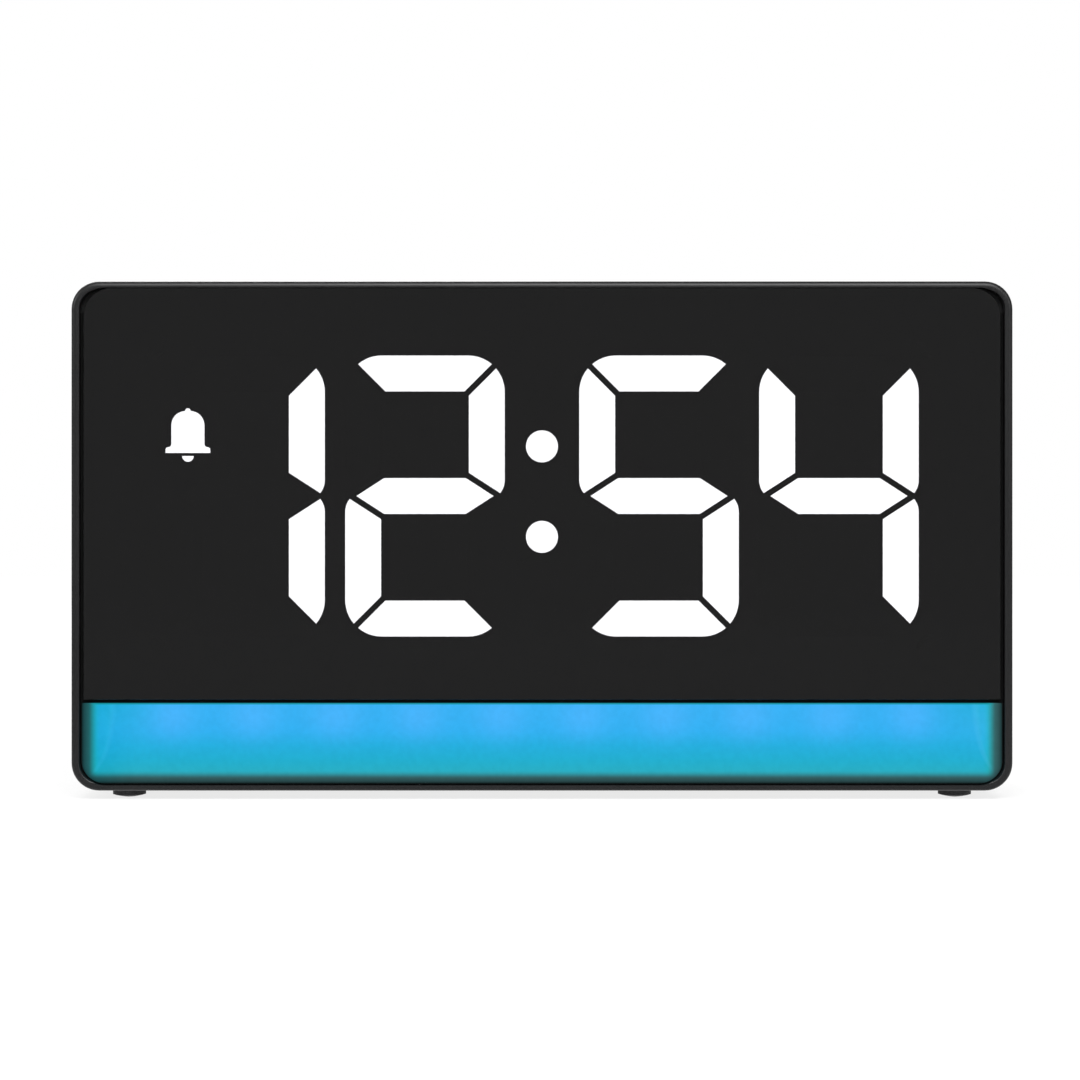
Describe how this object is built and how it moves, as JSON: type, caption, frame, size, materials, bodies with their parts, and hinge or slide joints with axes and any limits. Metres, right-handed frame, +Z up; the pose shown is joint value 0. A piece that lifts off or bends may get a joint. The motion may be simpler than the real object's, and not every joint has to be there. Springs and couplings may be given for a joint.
{
  "type": "mood light alarm clock",
  "caption": "Mains desk alarm clock: rounded black case, large white seven-segment display behind a smoked window, glowing light bar below, snooze key on top, setting keys at the back.",
  "frame": {"origin": "on the table, under the middle of the body", "axes": "+X to the right seen from the front, +Y from the display to the back, +Z up"},
  "size_m": [0.17, 0.045, 0.0936],
  "materials": {
    "case_plastic": "fine-grained satin black",
    "key_plastic": "satin black",
    "smoked_acrylic": "polished smoked acrylic",
    "light_diffuser": "translucent, lit blue",
    "lit_insert": "milky, lit white",
    "dark_insert": "dull black",
    "foot_rubber": "matte",
    "white_plastic": "satin white",
    "led_white": "clear-coated white",
    "circuit_board": "green solder mask",
    "black_component": "dull black",
    "steel": "plated",
    "brass_contact": "plated spring strip",
    "capacitor_sleeve": "shrunk dark blue sleeve",
    "ribbon": "pale grey",
    "lead": "soft PVC"
  },
  "bodies": {
    "case": {"front_housing": "case_plastic", "rear_cover": "case_plastic", "display_window": "smoked_acrylic", "light_diffuser": "light_diffuser", "lit_segments": "lit_insert", "colon_dots": "lit_insert", "alarm_bell": "lit_insert", "dark_segments": "dark_insert", "display_block": "dark_insert", "window_tape": "dark_insert", "feet": "foot_rubber", "light_reflector": "white_plastic", "lead_headers": "white_plastic", "ribbon_sockets": "white_plastic", "light_leds": "led_white", "display_leds": "led_white", "light_board": "circuit_board", "display_board": "circuit_board", "main_board": "circuit_board", "snooze_board": "circuit_board", "controller_chip": "black_component", "buzzer": "black_component", "dc_jack": "black_component", "key_switches": "steel", "alarm_switch": "steel", "snooze_switch": "steel", "dc_jack_pin": "steel", "backup_cell": "steel", "case_screws": "steel", "display_screws": "steel", "main_board_screws": "steel", "snooze_screws": "steel", "reflector_screws": "steel", "cell_spring": "brass_contact", "cell_clip": "brass_contact", "capacitors": "capacitor_sleeve", "display_ribbon": "ribbon", "light_lead": "lead", "snooze_lead": "lead"},
    "snooze": {"snooze_key": "key_plastic", "snooze_plunger": "foot_rubber"},
    "alarm_slider": {"alarm_slider": "key_plastic"},
    "battery_door": {"battery_door": "case_plastic"},
    "time_key": {"time_key": "key_plastic", "time_plunger": "foot_rubber"},
    "alarm_key": {"alarm_key": "key_plastic", "alarm_plunger": "foot_rubber"},
    "down_key": {"down_key": "key_plastic", "down_plunger": "foot_rubber"},
    "up_key": {"up_key": "key_plastic", "up_plunger": "foot_rubber"},
    "light_key": {"light_key": "key_plastic", "light_plunger": "foot_rubber"}
  },
  "joints": [
    {"name": "snooze_press", "type": "slide", "parent": "case", "child": "snooze", "axis": [0, 0, -1], "range_m": [0, 0.001], "stiffness_N_per_m": 1500, "springref_m": -0.0004},
    {"name": "time_press", "type": "slide", "parent": "case", "child": "time_key", "axis": [0, -1, 0], "range_m": [0, 0.0008], "stiffness_N_per_m": 1500, "springref_m": -0.0003},
    {"name": "alarm_press", "type": "slide", "parent": "case", "child": "alarm_key", "axis": [0, -1, 0], "range_m": [0, 0.0008], "stiffness_N_per_m": 1500, "springref_m": -0.0003},
    {"name": "down_press", "type": "slide", "parent": "case", "child": "down_key", "axis": [0, -1, 0], "range_m": [0, 0.0008], "stiffness_N_per_m": 1500, "springref_m": -0.0003},
    {"name": "up_press", "type": "slide", "parent": "case", "child": "up_key", "axis": [0, -1, 0], "range_m": [0, 0.0008], "stiffness_N_per_m": 1500, "springref_m": -0.0003},
    {"name": "light_press", "type": "slide", "parent": "case", "child": "light_key", "axis": [0, -1, 0], "range_m": [0, 0.0008], "stiffness_N_per_m": 1500, "springref_m": -0.0003},
    {"name": "alarm_slide", "type": "slide", "parent": "case", "child": "alarm_slider", "axis": [1, 0, 0], "range_m": [0, 0.0025]},
    {"name": "battery_door_swing", "type": "hinge", "parent": "case", "child": "battery_door", "pos_m": [0.034, 0.0216, 0.0215], "axis": [-1, 0, 0], "range_deg": [0, 95]}
  ]
}
